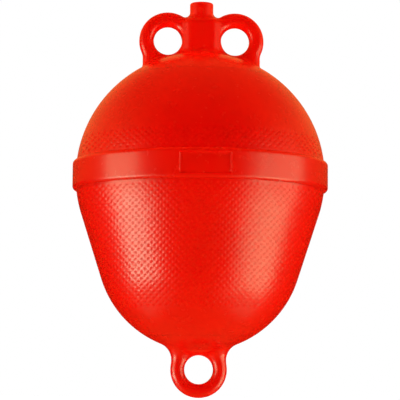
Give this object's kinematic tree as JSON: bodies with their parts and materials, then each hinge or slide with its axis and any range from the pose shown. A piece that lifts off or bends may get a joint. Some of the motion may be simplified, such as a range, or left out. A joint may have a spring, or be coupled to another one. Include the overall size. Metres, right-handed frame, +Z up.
{
  "type": "rigid mooring buoy",
  "caption": "Rigid pear-shaped mooring buoy of moulded plastic with an equator band, shackle eyes above and below and a plugged filler neck.",
  "frame": {"origin": "on the buoy's axis at the middle of the equator band, where it floats", "axes": "+Z up along the axis through the filler neck, +X across the top eyes, +Y along the holes of the eyes, so that the blank panel faces -Y"},
  "size_m": [0.25, 0.25, 0.3885],
  "materials": {
    "shell": "semi-gloss red polyethylene with a dimpled belt",
    "band": "semi-gloss red polyethylene, smooth",
    "eyes": "semi-gloss red polyethylene, smooth",
    "plug": "matt red polyethylene"
  },
  "bodies": {
    "root": {"upper_shell": "shell", "lower_shell": "shell", "equator_band": "band", "top_eye_casting": "eyes", "bottom_eye_casting": "eyes", "neck_plug": "plug"}
  },
  "joints": []
}
